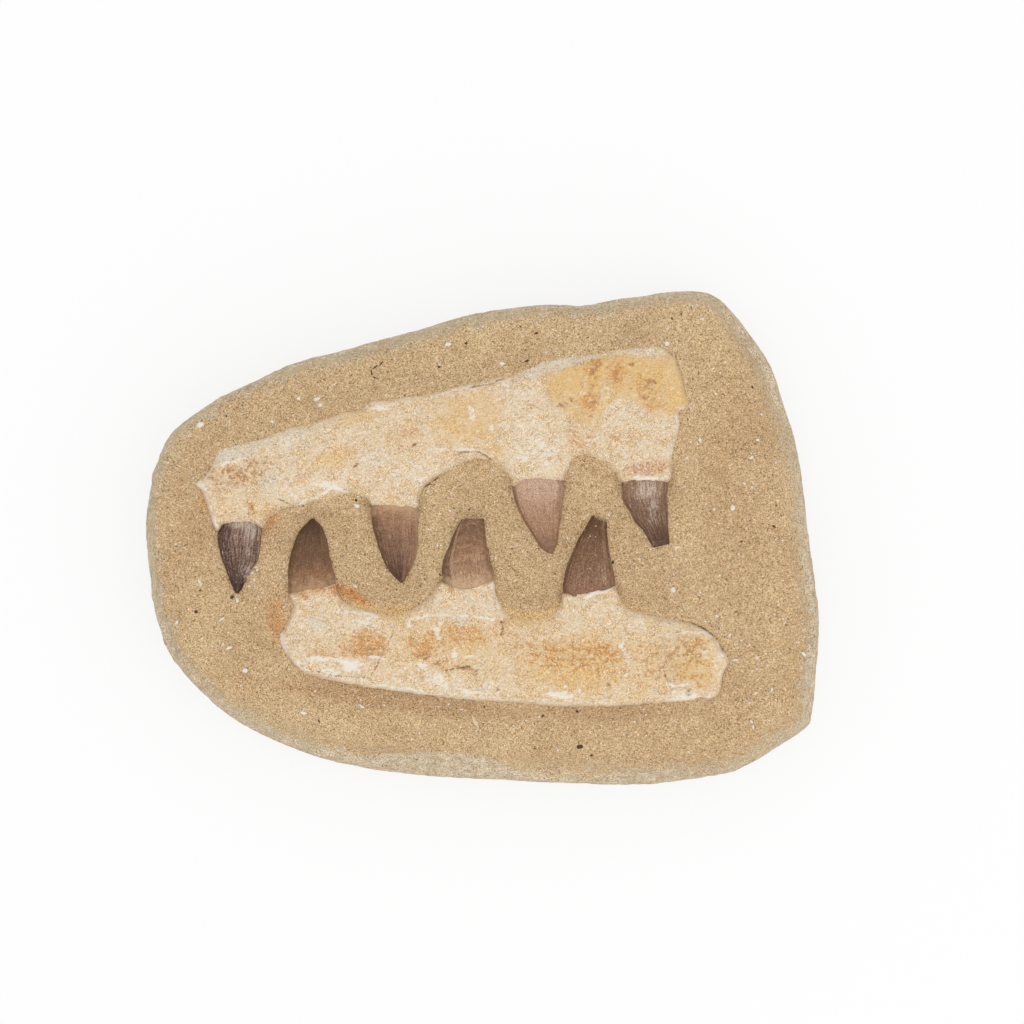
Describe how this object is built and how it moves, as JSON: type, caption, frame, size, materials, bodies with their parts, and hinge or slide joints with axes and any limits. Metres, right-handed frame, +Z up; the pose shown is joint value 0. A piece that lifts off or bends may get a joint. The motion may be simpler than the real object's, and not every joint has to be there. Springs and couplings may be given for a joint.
{
  "type": "fossil mosasaur jaw in rock matrix",
  "caption": "Slab of sandy rock with an upper and a lower mosasaur jaw section in relief, their conical teeth interlocking, lying on its flat base.",
  "frame": {"origin": "middle of the bounding box, on the floor that the flat base lies on", "axes": "+X along the jaws towards the deep end of the upper jaw, +Y from the lower jaw to the upper jaw, +Z up out of the carved face"},
  "size_m": [0.2638, 0.1936, 0.049],
  "materials": {
    "rock": "matt, sandy, fine-grained",
    "bone": "matt to slightly waxy fossil bone, fibrous and cracked",
    "enamel": "satin fossil tooth enamel with fine lengthwise striations"
  },
  "bodies": {
    "root": {"matrix_block": "rock", "upper_jaw": "bone", "lower_jaw": "bone"}
  },
  "joints": []
}
